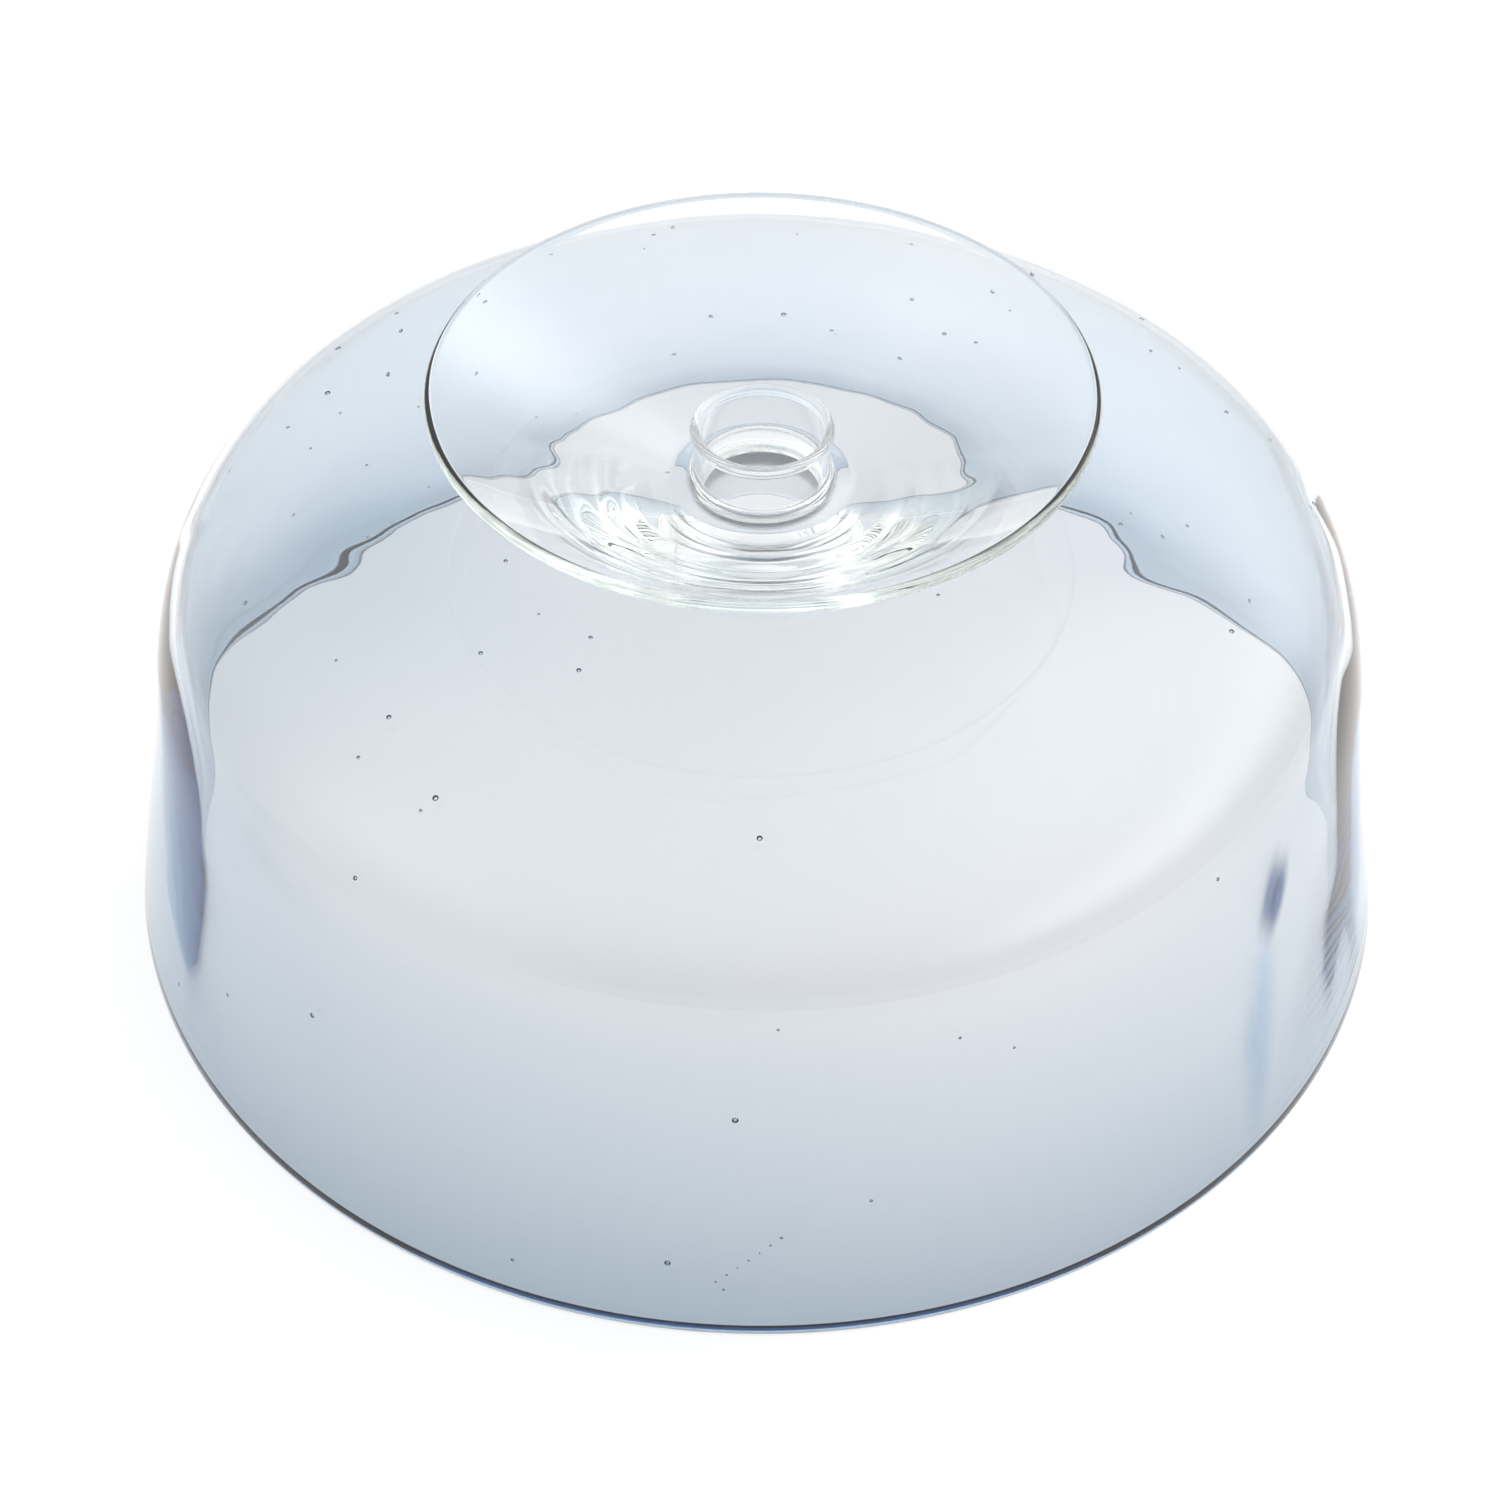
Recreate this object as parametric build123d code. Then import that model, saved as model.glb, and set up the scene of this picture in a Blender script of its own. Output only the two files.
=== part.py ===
"""Low bell jar dome of hand-blown glass with a loose clear lid.

Three turned glass pieces share the vertical axis Z. The tinted dome stands on its ground rim at Z = 0.
A clear saucer rests on a flat ground seat around the mouth in the dome's crown. A short clear tube is
fused through the saucer: above it is a finger grip with a rolled lip, below it a spigot that drops into
the mouth and keeps the lid central. Each piece is drawn as a half section of (radius, height) points
and turned about Z. Units are millimetres.
"""

import os
from math import cos, radians, sin

from build123d import *

# Dome, outside
RIM_RADIUS = 150.0
WALL_TOP_RADIUS = 139.8
WALL_TOP_HEIGHT = 65.4
SHOULDER_RADIUS = 84.7
SHOULDER_HEIGHT = 110.0
SHOULDER_PULL_LOW = 25.6
SHOULDER_PULL_HIGH = 48.7
CROWN_RISE = 5.7
CROWN_PULL = 20.0
ARRIS = 0.8

# Dome, glass thickness
RIM_GLASS = 5.0
WALL_GLASS = 4.2
SHOULDER_GLASS = 5.5
CROWN_GLASS = 5.5

# Seat and mouth in the crown
SEAT_HEIGHT = 109.0
SEAT_RADIUS = 27.0
MOUTH_RADIUS = 16.2
MOUTH_ROUND = 1.5

# Saucer of the lid
FOOT_RADIUS = 22.0
FOOT_GLASS = 7.2
EDGE_RADIUS = 72.2
EDGE_HEIGHT = 138.6
EDGE_ROUND = 1.35
EDGE_SLOPE = 33.0
UNDERSIDE_SLOPE = 31.0
UNDERSIDE_PULL = 15.0
FOOT_SLOPE = 24.0

# Neck tube of the lid
TUBE_RADIUS = 15.1
BORE_RADIUS = 13.6
TUBE_TOP = 128.1
LIP_ROUND = 1.225
NECK_FILLET = 1.0
SPIGOT_END = 97.6


def polar(radius, degrees):
    """Step of a given length in the section plane, at an angle up from the outward direction."""
    return Vector(radius * cos(radians(degrees)), radius * sin(radians(degrees)))


def turned(*edges):
    """Solid made by turning a closed half section about Z."""
    section = Plane.XZ * make_face(edges)
    return revolve(section, Axis.Z, 360)


def circles_of_radius(solid, radius):
    """Circular edges of a turned solid that have one radius."""
    rings = solid.edges().filter_by(GeomType.CIRCLE)
    return [ring for ring in rings if abs(ring.radius - radius) < 0.01]


def dome_skin(wall_foot, wall_top, shoulder, crown, crown_pull):
    """Wall, shoulder and crown as three smooth edges, from the rim to the mouth's edge."""
    lean = (wall_top - wall_foot).normalized()
    inward = Vector(-cos(radians(CROWN_RISE)), sin(radians(CROWN_RISE)))
    wall = Line(wall_foot, wall_top)
    bend = Bezier(
        wall_top,
        wall_top + lean * SHOULDER_PULL_LOW,
        shoulder - inward * SHOULDER_PULL_HIGH,
        shoulder,
    )
    cap = Bezier(shoulder, shoulder + inward * crown_pull, crown + Vector(crown_pull, 0), crown)
    return wall, bend, cap


def make_dome():
    """Tinted dome, open at the rim, with a round mouth in the crown."""
    outside = dome_skin(
        Vector(RIM_RADIUS, ARRIS),
        Vector(WALL_TOP_RADIUS, WALL_TOP_HEIGHT),
        Vector(SHOULDER_RADIUS, SHOULDER_HEIGHT),
        Vector(SEAT_RADIUS, SEAT_HEIGHT),
        CROWN_PULL,
    )
    inner_foot = RIM_RADIUS - RIM_GLASS
    inner_crown = SEAT_HEIGHT - CROWN_GLASS
    inside = dome_skin(
        Vector(inner_foot, ARRIS),
        Vector(WALL_TOP_RADIUS - WALL_GLASS, WALL_TOP_HEIGHT),
        Vector(SHOULDER_RADIUS, SHOULDER_HEIGHT - SHOULDER_GLASS),
        Vector(MOUTH_RADIUS, inner_crown),
        CROWN_PULL,
    )
    rim = Polyline(
        (inner_foot, ARRIS),
        (inner_foot + ARRIS, 0),
        (RIM_RADIUS - ARRIS, 0),
        (RIM_RADIUS, ARRIS),
    )
    seat_and_mouth = Polyline(
        (SEAT_RADIUS, SEAT_HEIGHT),
        (MOUTH_RADIUS, SEAT_HEIGHT),
        (MOUTH_RADIUS, inner_crown),
    )
    dome = turned(*outside, seat_and_mouth, *inside, rim)
    return fillet(circles_of_radius(dome, MOUTH_RADIUS), MOUTH_ROUND)


def make_saucer():
    """Clear saucer, thick over the seat and thin at its rounded edge, with a hole for the tube."""
    top_height = SEAT_HEIGHT + FOOT_GLASS
    land_radius = TUBE_RADIUS + NECK_FILLET
    edge = Vector(EDGE_RADIUS, EDGE_HEIGHT)
    edge_top = edge + polar(EDGE_ROUND, EDGE_SLOPE + 90)
    edge_tip = edge + polar(EDGE_ROUND, EDGE_SLOPE)
    edge_under = edge + polar(EDGE_ROUND, EDGE_SLOPE - 90)
    foot = Vector(FOOT_RADIUS, SEAT_HEIGHT)
    centre = Polyline(
        foot,
        (TUBE_RADIUS, SEAT_HEIGHT),
        (TUBE_RADIUS, top_height),
        (land_radius, top_height),
    )
    bowl = TangentArc(edge_top, (land_radius, top_height), tangent=polar(1, EDGE_SLOPE + 180))
    edge_cap = ThreePointArc(edge_top, edge_tip, edge_under)
    underside = Bezier(
        edge_under,
        edge_under - polar(UNDERSIDE_PULL, UNDERSIDE_SLOPE),
        foot + polar(UNDERSIDE_PULL, FOOT_SLOPE),
        foot,
    )
    return turned(centre, bowl, edge_cap, underside)


def make_neck():
    """Clear tube with a rolled lip, a fused fillet on the saucer and a spigot below it."""
    land_height = SEAT_HEIGHT + FOOT_GLASS
    land_radius = TUBE_RADIUS + NECK_FILLET
    lip_centre = Vector(BORE_RADIUS + LIP_ROUND, TUBE_TOP - LIP_ROUND)
    lip_inner = lip_centre - Vector(LIP_ROUND, 0)
    lip_top = lip_centre + Vector(0, LIP_ROUND)
    lip_outer = lip_centre + Vector(LIP_ROUND, 0)
    lip_under = Vector(TUBE_RADIUS, lip_centre.Y - LIP_ROUND)
    fillet_centre = Vector(land_radius, land_height + NECK_FILLET)
    end_round = (TUBE_RADIUS - BORE_RADIUS) / 2
    end_centre = Vector(BORE_RADIUS + end_round, SPIGOT_END + end_round)
    end_outer = end_centre + Vector(end_round, 0)
    end_inner = end_centre - Vector(end_round, 0)
    lip = ThreePointArc(lip_inner, lip_top, lip_outer)
    lip_turn = TangentArc(lip_outer, lip_under, tangent=(0, -1))
    shaft = Line(lip_under, (TUBE_RADIUS, fillet_centre.Y))
    foot = ThreePointArc(
        (TUBE_RADIUS, fillet_centre.Y),
        fillet_centre + polar(NECK_FILLET, 225),
        (land_radius, land_height),
    )
    spigot = Polyline((land_radius, land_height), (TUBE_RADIUS, land_height), end_outer)
    end = ThreePointArc(end_outer, end_centre - Vector(0, end_round), end_inner)
    bore = Line(end_inner, lip_inner)
    return turned(lip, lip_turn, shaft, foot, spigot, end, bore)


PIECES = {
    "dome_shell": make_dome,
    "lid_saucer": make_saucer,
    "neck_tube": make_neck,
}

os.makedirs("parts", exist_ok=True)
for name, make in PIECES.items():
    export_step(make(), f"parts/{name}.step")
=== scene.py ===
import random
from math import atan2, cos, degrees, exp, pi, radians, sin

import bmesh
import bpy
from mathutils import Matrix, Vector, noise


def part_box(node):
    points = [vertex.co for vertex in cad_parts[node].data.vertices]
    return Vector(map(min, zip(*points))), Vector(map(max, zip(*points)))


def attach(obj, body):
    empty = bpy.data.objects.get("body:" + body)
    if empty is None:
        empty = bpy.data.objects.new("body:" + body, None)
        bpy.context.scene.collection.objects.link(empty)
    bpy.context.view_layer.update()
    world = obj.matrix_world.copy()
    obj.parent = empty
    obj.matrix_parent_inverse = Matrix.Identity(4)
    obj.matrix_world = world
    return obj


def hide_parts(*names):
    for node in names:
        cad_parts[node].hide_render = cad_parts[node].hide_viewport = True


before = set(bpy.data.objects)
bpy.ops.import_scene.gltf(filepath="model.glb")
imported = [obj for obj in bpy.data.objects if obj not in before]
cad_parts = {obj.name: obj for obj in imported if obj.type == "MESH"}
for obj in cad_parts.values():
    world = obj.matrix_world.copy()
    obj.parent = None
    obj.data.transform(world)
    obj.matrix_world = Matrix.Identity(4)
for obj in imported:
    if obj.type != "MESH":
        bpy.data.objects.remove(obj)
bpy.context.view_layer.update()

MM = 0.001

# Places that every outline hangs from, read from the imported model
DOME_LOW, DOME_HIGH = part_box("dome_shell")
NECK_LOW, NECK_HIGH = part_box("neck_tube")
FLOOR = DOME_LOW[2]
RIM = (DOME_HIGH[0] - DOME_LOW[0]) / 2
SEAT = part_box("lid_saucer")[0][2]

# Gap left where two pieces touch, so that their faces never share a place
AIR = 0.05 * MM

# Steps round the axis of every turned piece
SEGMENTS = 384

# Dome, outside
WALL_LEAN = 10.2 * MM
WALL_TOP_HEIGHT = 65.4 * MM
SHOULDER_RADIUS = 84.7 * MM
SHOULDER_HEIGHT = 110.0 * MM
SHOULDER_PULL_LOW = 25.6 * MM
SHOULDER_PULL_HIGH = 48.7 * MM
CROWN_RISE = 5.7
CROWN_PULL = 20 * MM
ARRIS = 0.8 * MM

# Dome, glass thickness, seat and mouth
RIM_GLASS = 5 * MM
WALL_GLASS = 4.2 * MM
SHOULDER_GLASS = 5.5 * MM
CROWN_GLASS = 5.5 * MM
SEAT_RADIUS = 27 * MM
MOUTH_RADIUS = 16.2 * MM
MOUTH_ROUND = 1.5 * MM

# Lid, saucer
FOOT_RADIUS = 22 * MM
FOOT_GLASS = 7.2 * MM
FOOT_SLOPE = 24
EDGE_RADIUS = 72.2 * MM
EDGE_HEIGHT = 138.6 * MM
EDGE_ROUND = 1.35 * MM
EDGE_SLOPE = 33
UNDERSIDE_SLOPE = 31
UNDERSIDE_PULL = 15 * MM

# Lid, neck
TUBE_RADIUS = 15.1 * MM
BORE_RADIUS = 13.6 * MM
LIP_ROUND = 1.225 * MM
NECK_FILLET = 1.0 * MM

# Points along the dome's skin
WALL_COUNT = 30
SHOULDER_COUNT = 44
CROWN_COUNT = 26

# Swells in the blown glass, thicker spots on the inside: degrees round from +X, millimetres up the
# skin from the rim, breadth round the wall, length up the skin, and thickening, in millimetres
SWELLS = [
    (-162, 46, 15, 24, 2.4),
    (-150, 135, 26, 26, 0.9),
    (-168, 131, 18, 18, 1.0),
    (-159, 104, 12, 9, 0.5),
    (-148, 92, 16, 14, 1.2),
    (178, 99, 4, 8, 0.35),
    (-12, 150, 12, 12, 0.6),
    (-5, 130, 26, 20, 0.75),
    (-32, 96, 20, 18, 1.4),
    (10, 88, 8, 10, 0.8),
    (-14, 50, 8, 26, 1.2),
    (-39, 28, 4, 22, 0.5),
]

# Slow waves of the glass surfaces: height in millimetres, and how many fit in a metre
DOME_OUTSIDE_WAVES = [(0.25, 14)]
DOME_INSIDE_WAVES = [(0.25, 16), (0.12, 48)]
SAUCER_TOP_WAVES = [(0.12, 30)]
SAUCER_UNDER_WAVES = [(0.10, 35), (0.03, 110)]
OUTSIDE_SHIFT = Vector((3, 5, 7))

# Seeds, small bubbles in the dome's glass, with a range of radii in millimetres. Fewest lie on one side,
# given in degrees round from +X
SEED_COUNT = 90
SEED_RANDOM = 5
SEED_SIZE = (0.3, 0.75)
SEED_POOR_SIDE = -40
SEED_POOR_CHANCE = 0.35

# A short trail of finer seeds: where it starts, in degrees and as a share of the skin, and its steps
TRAIL_COUNT = 7
TRAIL_SIZE = (0.2, 0.4)
TRAIL_ANGLE, TRAIL_ANGLE_STEP = -93, 0.9
TRAIL_SHARE, TRAIL_SHARE_STEP = 0.055, 0.011

# Surface colours by height, the dome's darker and bluer towards the rim; the tint in the glass's depth and
# how dense it is
DOME_TINTS = [
    (0.000, (0.53, 0.59, 0.635)),
    (0.040, (0.725, 0.75, 0.77)),
    (0.070, (0.82, 0.825, 0.83)),
    (0.100, (0.93, 0.91, 0.89)),
    (0.1085, (1.0, 0.955, 0.92)),
]
DOME_DEPTH = (0.36, 0.59, 0.77)
DOME_DENSITY = 60
CLEAR_TINTS = [
    (0.100, (1.0, 1.0, 1.0)),
    (0.140, (0.99, 0.995, 0.985)),
]
CLEAR_DEPTH = (0.75, 0.92, 0.82)
CLEAR_DENSITY = 3
CLOUD_TINTS = (0.96, 0.985, 1.0), (1.0, 0.98, 0.985)

# Frosted ground zones: what the zone is measured by, where the frosting is full and where it ends
MOUTH_FROST = ("radius", 0.0166, 0.0180)
FOOT_FROST = ("radius", 0.010, 0.011)
SPIGOT_FROST = ("height", 0.1082, 0.1092)
FROST = 0.4

# Painted dark bands: deeper colour painted into the wall as painted shade, standing in for the dark bands
# that refraction makes in the curved glass: degrees round from +X, radius, height, lean, breadth, length,
# colour
PAINTED_DARK_BANDS = [
    (-37.0, 0.138, 0.068, -22, 0.0046, 0.0135, (0.03, 0.07, 0.21)),
    (-39.5, 0.143, 0.034, -6, 0.0060, 0.040, (0.70, 0.81, 0.93)),
]
# Shape of each painted dark band (painted shade): its thinness through the wall, and the share of it at
# full colour
PAINTED_BAND_DEPTH = 0.02
PAINTED_BAND_CORE = 0.3

# Floor: base colour, the light that it gives, and the warm extra light behind and to the right of the rim
FLOOR_HALF = 30.0
FLOOR_DROP = 0.2 * MM
FLOOR_BASE = (0.3, 0.3, 0.3)
FLOOR_LIGHT = (0.76, 0.76, 0.76)
FLOOR_BRIGHT = (1.24, 1.17, 1.12)
WHITE = (1, 1, 1)
COOL_WHITE = (0.85, 0.92, 1.0)

# Changes of light over the floor: where each starts and ends in metres, and its value before and after
OUTSIDE_RIM = (0.144, 0.165, 0.0, 1.0)
BEHIND = (-0.03, 0.11, 0.0, 1.0)
RIGHT = (-0.04, 0.16, 0.0, 0.33)
FAR = (0.5, 0.8, 1.0, 0.55)

# The room's light by direction: the axis, where along it the light changes, and its value before and after
ROOM = ("Y", -1.0, 0.3, 0.06, 0.78)
CEILING = ("Z", 0.2, 1.0, 0.0, 0.7)
BACK_RIGHT = [("X", -0.1, 0.5, 0.0, 1.0), ("Y", 0.1, 0.7, 0.0, 1.0), ("Z", 0.35, 0.6, 0.0, 1.0)]
FRONT_LEFT = [("X", -0.75, -0.35, 0.5, 0.0), ("Y", 0.0, 0.4, 1.0, 0.0)]
SOFTBOX_SIDE = ("X", 0.35, 0.75, 0.0, 1.0)
SOFTBOX_FOOT = ("Z", 0.22, 0.52, 0.0, 1.25)
SOFTBOX_TOP = ("Z", 0.58, 0.85, 0.0, 1.25)
COOL_FRONT = ("Y", -0.8, 0.2, 0.0, 1.0)

# Camera: lens and sensor in millimetres, distance in rim radii, and angles in degrees
SENSOR = 36
LENS = 76.8
CAMERA_DISTANCE = 5.28
CAMERA_ELEVATION = 45.5
PITCH, YAW, ROLL = 43.99, -0.21, 0.55


# Curves in the half section, as lists of (radius, height)

def line(start, end, count):
    """Evenly spaced points from start to end."""
    return [start.lerp(end, i / count) for i in range(count + 1)]


def bezier(p0, p1, p2, p3, count):
    """Points on a cubic curve."""
    points = []
    for i in range(count + 1):
        t = i / count
        u = 1 - t
        points.append(p0 * u**3 + p1 * (3 * u * u * t) + p2 * (3 * u * t * t) + p3 * t**3)
    return points


def step(length, angle):
    """A step of a length at an angle in degrees up from the outward direction."""
    return Vector((length * cos(radians(angle)), length * sin(radians(angle))))


def arc(centre, radius, start, end, count):
    """Points on a circle, from one angle to another in degrees."""
    return [centre + step(radius, start + (end - start) * i / count) for i in range(count + 1)]


def tangent_arc(start, heading, end, count):
    """Points on the circle that leaves start along heading (degrees) and reaches end."""
    way = step(1, heading)
    side = Vector((-way.y, way.x))
    chord = end - start
    radius = chord.length_squared / (2 * chord.dot(side))
    centre = start + side * radius
    first = atan2(start.y - centre.y, start.x - centre.x)
    last = atan2(end.y - centre.y, end.x - centre.x)
    turn = (last - first + pi) % (2 * pi) - pi
    return arc(centre, abs(radius), degrees(first), degrees(first + turn), count)


def joined(*runs):
    """One closed outline from runs that meet end to start."""
    points = []
    for run in runs:
        for p in run:
            if not points or (p - points[-1]).length > 0.001 * MM:
                points.append(p)
    if (points[0] - points[-1]).length < 0.001 * MM:
        points.pop()
    return points


# Turned glass

def turned(outline, waver):
    """Vertices and faces of the outline turned about Z.

    waver(index, angle, place) gives the shift of an outline point along its normal.
    """
    count = len(outline)
    vertices = []
    for j in range(SEGMENTS):
        angle = 2 * pi * j / SEGMENTS
        for i, p in enumerate(outline):
            along = outline[(i + 1) % count] - outline[i - 1]
            normal = Vector((along.y, -along.x)).normalized()
            place = Vector((p.x * cos(angle), p.x * sin(angle), p.y))
            p = p + normal * waver(i, angle, place)
            vertices.append((p.x * cos(angle), p.x * sin(angle), p.y))
    faces = []
    for j in range(SEGMENTS):
        k = (j + 1) % SEGMENTS
        for i in range(count):
            n = (i + 1) % count
            faces.append((j * count + i, k * count + i, k * count + n, j * count + n))
    return vertices, faces


def still(index, angle, place):
    """No waver at all."""
    return 0


def free(share, first_rate, last_rate):
    """How far glass may waver at a share of a run: not at its ends, and fully between them."""
    return min(1, first_rate * share) * min(1, last_rate * (1 - share))


def waves(levels, place, shift=Vector()):
    """Shift of a surface by slow uneven waves."""
    return sum(height * MM * noise.noise(place * pitch + shift) for height, pitch in levels)


def add_piece(name, vertices, faces, material, body, slot, *nodes):
    """A smooth mesh that rides on a body and stands for CAD nodes."""
    mesh = bpy.data.meshes.new(name)
    mesh.from_pydata(vertices, [], faces)
    mesh.validate()
    mesh.shade_smooth()
    mesh.materials.append(material)
    piece = bpy.data.objects.new(name, mesh)
    bpy.context.collection.objects.link(piece)
    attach(piece, body)
    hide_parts(*nodes)


# Dome

def swell(angle, radius, station):
    """Thickening of the glass at a place on the skin."""
    total = 0
    for azimuth, centre, breadth, length, lift in SWELLS:
        turn = (angle - radians(azimuth) + pi) % (2 * pi) - pi
        across = turn * radius / (breadth * MM)
        up = (station - centre * MM) / (length * MM)
        total += lift * MM * exp(-0.5 * (across * across + up * up))
    return total


def dome_skin(wall_foot, wall_top, shoulder, crown):
    """Wall, shoulder and crown from the rim to the mouth."""
    lean = (wall_top - wall_foot).normalized()
    inward = step(1, 180 - CROWN_RISE)
    wall = line(wall_foot, wall_top, WALL_COUNT)
    bend = bezier(
        wall_top,
        wall_top + lean * SHOULDER_PULL_LOW,
        shoulder - inward * SHOULDER_PULL_HIGH,
        shoulder,
        SHOULDER_COUNT,
    )
    pull = Vector((CROWN_PULL, 0))
    cap = bezier(shoulder, shoulder + inward * CROWN_PULL, crown + pull, crown, CROWN_COUNT)
    return wall + bend[1:] + cap[1:]


def add_seeds(vertices, faces, inside, outside):
    """Small round bubbles in the middle of the glass, a few in a short trail low at the front."""
    chance = random.Random(SEED_RANDOM)
    places = []
    while len(places) < SEED_COUNT:
        azimuth = chance.uniform(-pi, pi)
        share = chance.random()
        rich = 0.5 - 0.5 * cos(azimuth - radians(SEED_POOR_SIDE))
        if chance.random() < SEED_POOR_CHANCE + (1 - SEED_POOR_CHANCE) * rich:
            places.append((azimuth, share, chance.uniform(*SEED_SIZE) * MM))
    for i in range(TRAIL_COUNT):
        azimuth = radians(TRAIL_ANGLE + TRAIL_ANGLE_STEP * i)
        share = TRAIL_SHARE + TRAIL_SHARE_STEP * i
        places.append((azimuth, share, chance.uniform(*TRAIL_SIZE) * MM))
    for azimuth, share, size in places:
        i = round(share * (len(inside) - 1))
        middle = (inside[i] + outside[i]) / 2
        centre = Vector((middle.x * cos(azimuth), middle.x * sin(azimuth), middle.y))
        ball = bmesh.new()
        bmesh.ops.create_icosphere(ball, subdivisions=2, radius=size)
        first = len(vertices)
        vertices.extend(centre + v.co for v in ball.verts)
        faces.extend([first + v.index for v in reversed(f.verts)] for f in ball.faces)
        ball.free()


def make_dome(material):
    """Dome of tinted glass, open at the rim, with a round mouth in the crown."""
    seat = SEAT - AIR
    inner_crown = seat - CROWN_GLASS
    inner_foot = RIM - RIM_GLASS
    mouth_start = MOUTH_RADIUS + MOUTH_ROUND
    wall_top = Vector((RIM - WALL_LEAN, WALL_TOP_HEIGHT))
    shoulder = Vector((SHOULDER_RADIUS, SHOULDER_HEIGHT))
    outside = dome_skin(
        Vector((RIM, FLOOR + ARRIS)),
        wall_top,
        shoulder,
        Vector((SEAT_RADIUS, seat)),
    )
    inside = dome_skin(
        Vector((inner_foot, FLOOR + ARRIS)),
        wall_top - Vector((WALL_GLASS, 0)),
        shoulder - Vector((0, SHOULDER_GLASS)),
        Vector((mouth_start, inner_crown)),
    )
    seat_line = line(outside[-1], Vector((mouth_start, seat)), 6)
    upper = arc(Vector((mouth_start, seat - MOUTH_ROUND)), MOUTH_ROUND, 90, 180, 7)
    lower = arc(Vector((mouth_start, inner_crown + MOUTH_ROUND)), MOUTH_ROUND, 180, 270, 7)
    mouth_wall = line(upper[-1], lower[0], 5)

    # Each arris has one middle point, a little outside the straight line, so it looks softly rounded
    soft_in = 0.25 * ARRIS
    soft_up = 0.3 * ARRIS
    rim = [
        Vector((inner_foot + soft_in, FLOOR + soft_up)),
        Vector((inner_foot + ARRIS, FLOOR)),
        Vector((RIM - RIM_GLASS / 2, FLOOR)),
        Vector((RIM - ARRIS, FLOOR)),
        Vector((RIM - soft_in, FLOOR + soft_up)),
    ]
    outline = joined(outside, seat_line, upper, mouth_wall, lower, inside[::-1], rim)
    skin_steps = len(outside) - 1
    inner_last = len(outline) - len(rim) - 1
    inner_first = inner_last - skin_steps

    stations = [0]
    for before, after in zip(inside, inside[1:]):
        stations.append(stations[-1] + (after - before).length)

    def waver(i, angle, place):
        if i <= skin_steps:
            return free(i / skin_steps, 8, 6) * waves(DOME_OUTSIDE_WAVES, place, OUTSIDE_SHIFT)
        if inner_first <= i <= inner_last:
            ripple = waves(DOME_INSIDE_WAVES, place)
            lump = swell(angle, outline[i].x, stations[inner_last - i])
            return free((inner_last - i) / skin_steps, 8, 6) * (ripple + lump)
        return 0

    vertices, faces = turned(outline, waver)
    add_seeds(vertices, faces, inside, outside)
    add_piece("dome_glass", vertices, faces, material, "dome", "tinted_glass", "dome_shell")


# Lid

def make_saucer(material):
    """Saucer of clear glass, thick over the seat and thin at its rounded edge."""
    seat = SEAT + AIR
    hole = TUBE_RADIUS + AIR
    top = SEAT + FOOT_GLASS
    land = Vector((TUBE_RADIUS + NECK_FILLET, top))
    foot = Vector((FOOT_RADIUS, seat))
    edge = Vector((EDGE_RADIUS, EDGE_HEIGHT))
    edge_cap = arc(edge, EDGE_ROUND, EDGE_SLOPE - 90, EDGE_SLOPE + 90, 16)
    bowl = tangent_arc(edge_cap[-1], EDGE_SLOPE + 180, land, 60)
    underside = bezier(
        foot,
        foot + step(UNDERSIDE_PULL, FOOT_SLOPE),
        edge_cap[0] - step(UNDERSIDE_PULL, UNDERSIDE_SLOPE),
        edge_cap[0],
        60,
    )
    outline = joined(
        underside,
        edge_cap,
        bowl,
        line(land, Vector((hole, top)), 3),
        line(Vector((hole, top)), Vector((hole, seat)), 6),
        line(Vector((hole, seat)), foot, 6),
    )
    under_last = len(underside) - 1
    bowl_first = under_last + len(edge_cap) - 1
    bowl_last = bowl_first + len(bowl) - 1

    def waver(i, angle, place):
        if i <= under_last:
            return free(i / under_last, 6, 8) * waves(SAUCER_UNDER_WAVES, place)
        if bowl_first < i < bowl_last:
            share = (i - bowl_first) / (bowl_last - bowl_first)
            return free(share, 8, 6) * waves(SAUCER_TOP_WAVES, place)
        return 0

    vertices, faces = turned(outline, waver)
    add_piece("saucer_glass", vertices, faces, material, "lid", "clear_glass", "lid_saucer")


def make_neck(material):
    """Clear tube with a rolled lip, a fillet on the saucer and a spigot below it."""
    tube = TUBE_RADIUS - AIR
    top = SEAT + FOOT_GLASS + AIR
    lip = Vector((BORE_RADIUS + LIP_ROUND, NECK_HIGH[2] - LIP_ROUND))
    lip_arc = arc(lip, LIP_ROUND, 180, -60, 20)
    lip_end = Vector((tube, lip.y - LIP_ROUND * 1.15))
    fillet = Vector((tube + NECK_FILLET, top + NECK_FILLET))
    end_round = (tube - BORE_RADIUS) / 2
    end = Vector((BORE_RADIUS + end_round, NECK_LOW[2] + end_round))
    outline = joined(
        lip_arc,
        line(lip_arc[-1], lip_end, 2),
        line(lip_end, Vector((tube, fillet.y)), 16),
        arc(fillet, NECK_FILLET, 180, 270, 8),
        line(Vector((tube + NECK_FILLET, top)), Vector((tube, top)), 3),
        line(Vector((tube, top)), end + Vector((end_round, 0)), 24),
        arc(end, end_round, 0, -180, 10),
        line(end - Vector((end_round, 0)), lip_arc[0], 40),
    )
    outline.reverse()
    vertices, faces = turned(outline, still)
    add_piece("neck_glass", vertices, faces, material, "lid", "neck_glass", "neck_tube")


# Nodes

def new_tree(owner):
    """Nodes and links of a material's or world's empty node tree."""
    owner.use_nodes = True
    nodes = owner.node_tree.nodes
    nodes.clear()
    return nodes, owner.node_tree.links


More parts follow.
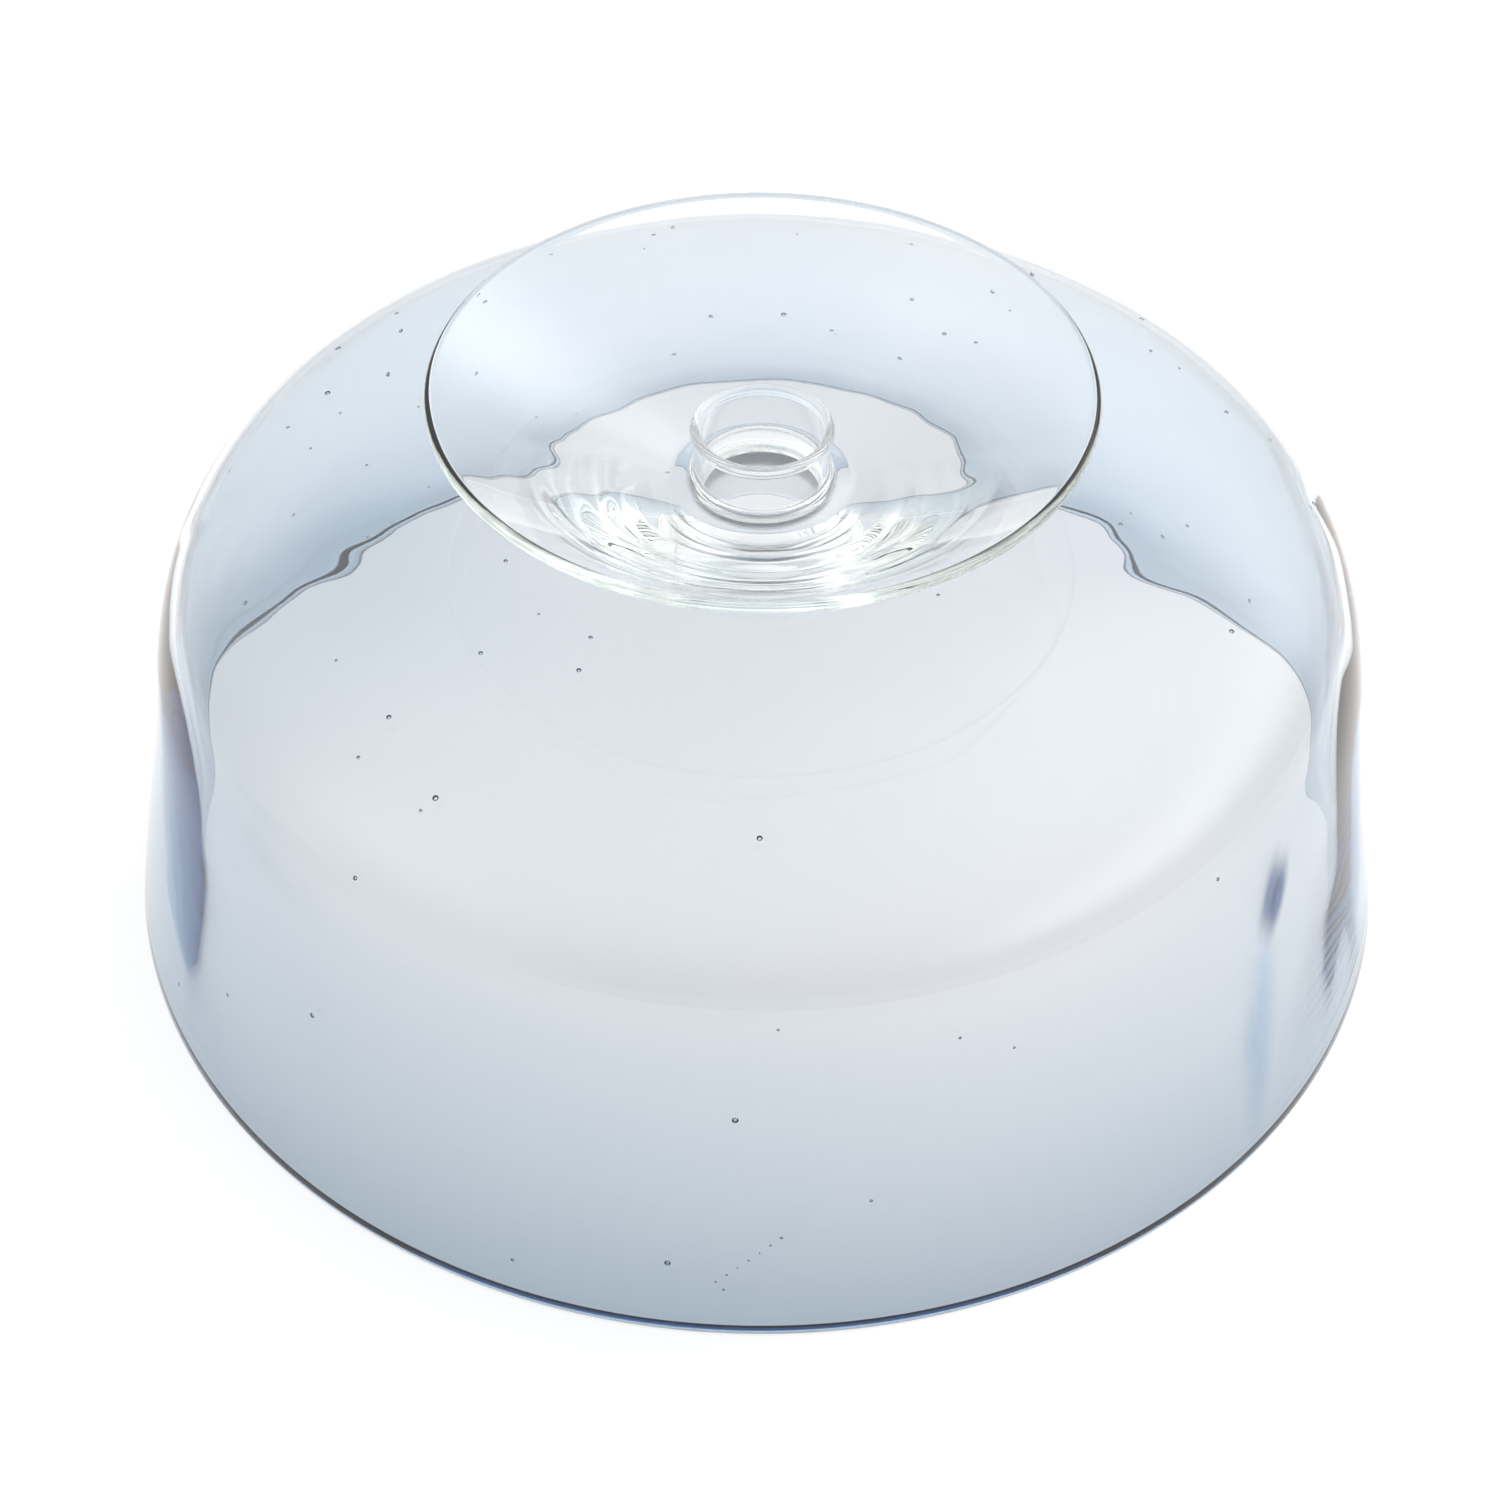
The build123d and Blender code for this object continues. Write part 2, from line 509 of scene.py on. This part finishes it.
def change(tree, socket, start, end, first, last, smooth=True):
    """A change from first to last as a value goes from start to end."""
    nodes, links = tree
    node = nodes.new("ShaderNodeMapRange")
    if smooth:
        node.interpolation_type = "SMOOTHSTEP"
    node.inputs["From Min"].default_value = start
    node.inputs["From Max"].default_value = end
    node.inputs["To Min"].default_value = first
    node.inputs["To Max"].default_value = last
    links.new(socket, node.inputs["Value"])
    return node.outputs["Result"]


def worked_out(tree, operation, *values):
    """Result of a sum on values."""
    nodes, links = tree
    node = nodes.new("ShaderNodeMath")
    node.operation = operation
    for value, socket in zip(values, node.inputs):
        links.new(value, socket)
    return node.outputs["Value"]


def length(tree, place):
    """Distance of a place from the middle."""
    nodes, links = tree
    node = nodes.new("ShaderNodeVectorMath")
    node.operation = "LENGTH"
    links.new(place, node.inputs[0])
    return node.outputs["Value"]


def blended(tree, factor, first, second, clamped=True):
    """Colour between two colours."""
    nodes, links = tree
    mix = nodes.new("ShaderNodeMix")
    mix.data_type = "RGBA"
    mix.clamp_factor = clamped
    mix.inputs["A"].default_value = (*first, 1)
    mix.inputs["B"].default_value = (*second, 1)
    links.new(factor, mix.inputs["Factor"])
    return mix.outputs["Result"]


def multiplied(tree, first, second):
    """Product of two colour sockets."""
    nodes, links = tree
    mix = nodes.new("ShaderNodeMix")
    mix.data_type = "RGBA"
    mix.blend_type = "MULTIPLY"
    mix.inputs["Factor"].default_value = 1
    links.new(first, mix.inputs["A"])
    links.new(second, mix.inputs["B"])
    return mix.outputs["Result"]


def noise_value(tree, place, scale):
    """Soft cloudy noise from 0 to 1."""
    nodes, links = tree
    node = nodes.new("ShaderNodeTexNoise")
    node.inputs["Scale"].default_value = scale
    node.inputs["Detail"].default_value = 1
    links.new(place, node.inputs["Vector"])
    return node.outputs["Fac"]


# Materials

def height_tint(tree, height, tints):
    """Colour that changes with height."""
    nodes, links = tree
    low, high = tints[0][0], tints[-1][0]
    ramp = nodes.new("ShaderNodeValToRGB")
    stops = ramp.color_ramp.elements
    while len(stops) < len(tints):
        stops.new(1.0)
    for stop, (level, colour) in zip(stops, tints):
        stop.position = (level - low) / (high - low)
        stop.color = (*colour, 1)
    links.new(change(tree, height, low, high, 0.0, 1.0, smooth=False), ramp.inputs[0])
    return ramp.outputs["Color"]


def painted_band_tint(tree, place, azimuth, radius, height, lean, breadth, reach, colour):
    """Colour of one soft painted dark band in the wall, painted shade standing in for refraction, white
    everywhere else.
    """
    nodes, links = tree
    around = nodes.new("ShaderNodeMapping")
    around.vector_type = "TEXTURE"
    angle = radians(azimuth)
    around.inputs["Location"].default_value = (radius * cos(angle), radius * sin(angle), height)
    around.inputs["Rotation"].default_value = (radians(lean), 0, angle)
    around.inputs["Scale"].default_value = (PAINTED_BAND_DEPTH, breadth, reach)
    links.new(place, around.inputs["Vector"])
    fade = change(tree, length(tree, around.outputs["Vector"]), PAINTED_BAND_CORE, 1.0, 0.0, 1.0)
    return blended(tree, fade, colour, WHITE)


def glass(name, tints, depth_colour, depth_density, ground, milk, painted_bands):
    """Blown glass with a surface tint that changes with height over a tint in depth.

    ground is the frosted zone: "height" or "radius", where the frosting is full and where it ends.
    milk is how far the frosted zone is milky, from 0 to 1.
    """
    material = bpy.data.materials.new(name)
    tree = nodes, links = new_tree(material)
    out = nodes.new("ShaderNodeOutputMaterial")
    shader = nodes.new("ShaderNodeBsdfPrincipled")
    shader.inputs["IOR"].default_value = 1.5
    place = nodes.new("ShaderNodeTexCoord").outputs["Object"]
    split = nodes.new("ShaderNodeSeparateXYZ")
    links.new(place, split.inputs[0])

    cloud = blended(tree, noise_value(tree, place, 9), *CLOUD_TINTS)
    tint = multiplied(tree, height_tint(tree, split.outputs["Z"], tints), cloud)
    # Painted dark bands: painted shade multiplied into the surface colour
    for painted_band in painted_bands:
        tint = multiplied(tree, tint, painted_band_tint(tree, place, *painted_band))
    links.new(tint, shader.inputs["Base Color"])

    measure, full, end = ground
    if measure == "height":
        distance = split.outputs["Z"]
    else:
        flat = nodes.new("ShaderNodeCombineXYZ")
        links.new(split.outputs["X"], flat.inputs["X"])
        links.new(split.outputs["Y"], flat.inputs["Y"])
        distance = length(tree, flat.outputs[0])
    frost = change(tree, distance, full, end, FROST, 0.0, smooth=False)
    through = change(tree, frost, 0.0, FROST, 1.0, 1 - milk, smooth=False)
    links.new(frost, shader.inputs["Roughness"])
    links.new(through, shader.inputs["Transmission Weight"])

    # Fine upright cords in the surface
    stretch = nodes.new("ShaderNodeMapping")
    stretch.inputs["Scale"].default_value = (1, 1, 0.25)
    links.new(place, stretch.inputs["Vector"])
    bump = nodes.new("ShaderNodeBump")
    bump.inputs["Strength"].default_value = 0.25
    bump.inputs["Distance"].default_value = 0.0004
    links.new(noise_value(tree, stretch.outputs["Vector"], 45), bump.inputs["Height"])
    links.new(bump.outputs["Normal"], shader.inputs["Normal"])
    links.new(shader.outputs["BSDF"], out.inputs["Surface"])

    depth = nodes.new("ShaderNodeVolumeAbsorption")
    depth.inputs["Color"].default_value = (*depth_colour, 1)
    depth.inputs["Density"].default_value = depth_density
    links.new(depth.outputs[0], out.inputs["Volume"])
    return material


# Studio

def make_floor():
    """White floor that gives soft light of its own, more behind and to the right of the rim."""
    mesh = bpy.data.meshes.new("floor")
    level = FLOOR - FLOOR_DROP
    corners = [(-1, -1), (1, -1), (1, 1), (-1, 1)]
    vertices = [(x * FLOOR_HALF, y * FLOOR_HALF, level) for x, y in corners]
    mesh.from_pydata(vertices, [], [(0, 1, 2, 3)])
    floor = bpy.data.objects.new("floor", mesh)
    bpy.context.collection.objects.link(floor)
    material = bpy.data.materials.new("floor_white")
    tree = nodes, links = new_tree(material)
    out = nodes.new("ShaderNodeOutputMaterial")
    shader = nodes.new("ShaderNodeBsdfPrincipled")
    shader.inputs["Base Color"].default_value = (*FLOOR_BASE, 1)
    shader.inputs["Roughness"].default_value = 1
    shader.inputs["Specular IOR Level"].default_value = 0
    place = nodes.new("ShaderNodeTexCoord").outputs["Object"]
    split = nodes.new("ShaderNodeSeparateXYZ")
    links.new(place, split.inputs[0])
    reach = length(tree, place)

    extra = worked_out(
        tree,
        "MULTIPLY_ADD",
        change(tree, reach, *OUTSIDE_RIM),
        change(tree, split.outputs["Y"], *BEHIND),
        change(tree, split.outputs["X"], *RIGHT),
    )
    light = blended(tree, extra, FLOOR_LIGHT, FLOOR_BRIGHT, clamped=False)
    links.new(light, shader.inputs["Emission Color"])
    links.new(change(tree, reach, *FAR), shader.inputs["Emission Strength"])
    links.new(shader.outputs["BSDF"], out.inputs["Surface"])
    mesh.materials.append(material)


def make_world():
    """Soft light: dim and cool in front, brighter behind and above, with a softbox at the right."""
    world = bpy.data.worlds.new("studio")
    bpy.context.scene.world = world
    tree = nodes, links = new_tree(world)
    out = nodes.new("ShaderNodeOutputWorld")
    back = nodes.new("ShaderNodeBackground")
    place = nodes.new("ShaderNodeTexCoord").outputs["Generated"]
    split = nodes.new("ShaderNodeSeparateXYZ")
    links.new(place, split.inputs[0])

    def rise(axis, *values):
        """A smooth change with the direction's share along an axis."""
        return change(tree, split.outputs[axis], *values)

    def product(changes):
        """Product of several changes."""
        total = rise(*changes[0])
        for values in changes[1:]:
            total = worked_out(tree, "MULTIPLY", total, rise(*values))
        return total

    softbox_height = worked_out(tree, "SUBTRACT", rise(*SOFTBOX_FOOT), rise(*SOFTBOX_TOP))
    softbox = worked_out(tree, "MULTIPLY", rise(*SOFTBOX_SIDE), softbox_height)
    total = rise(*ROOM)
    for part in (rise(*CEILING), product(BACK_RIGHT), product(FRONT_LEFT), softbox):
        total = worked_out(tree, "ADD", total, part)
    tone = blended(tree, rise(*COOL_FRONT), COOL_WHITE, WHITE)
    links.new(tone, back.inputs["Color"])
    links.new(total, back.inputs["Strength"])
    links.new(back.outputs[0], out.inputs["Surface"])


def make_camera():
    """View from in front and above, placed in shares of the rim's radius."""
    lens = bpy.data.cameras.new("camera")
    lens.sensor_width = SENSOR
    lens.lens = LENS
    camera = bpy.data.objects.new("camera", lens)
    distance = CAMERA_DISTANCE * RIM
    elevation = radians(CAMERA_ELEVATION)
    camera.location = (0, -distance * cos(elevation), distance * sin(elevation))
    yaw = Matrix.Rotation(-radians(YAW), 3, "Z")
    pitch = Matrix.Rotation(pi / 2 - radians(PITCH), 3, "X")
    roll = Matrix.Rotation(radians(ROLL), 3, "Z")
    camera.rotation_euler = (yaw @ pitch @ roll).to_euler()
    bpy.context.collection.objects.link(camera)
    bpy.context.scene.camera = camera


# The dome's tinted glass carries the painted dark bands, painted shade in its colour
tinted = glass("tinted_glass", DOME_TINTS, DOME_DEPTH, DOME_DENSITY, MOUTH_FROST, 0.8, PAINTED_DARK_BANDS)
clear = glass("clear_glass", CLEAR_TINTS, CLEAR_DEPTH, CLEAR_DENSITY, FOOT_FROST, 0.0, [])
neck_clear = glass("neck_glass", CLEAR_TINTS, CLEAR_DEPTH, CLEAR_DENSITY, SPIGOT_FROST, 0.0, [])

make_dome(tinted)
make_saucer(clear)
make_neck(neck_clear)
make_floor()
make_world()
make_camera()

# Clear glass lies many layers deep here, so light needs more bounces than usual
cycles = bpy.context.scene.cycles
cycles.max_bounces = 32
cycles.transmission_bounces = 32
cycles.glossy_bounces = 16
bpy.context.scene.view_settings.view_transform = "Standard"
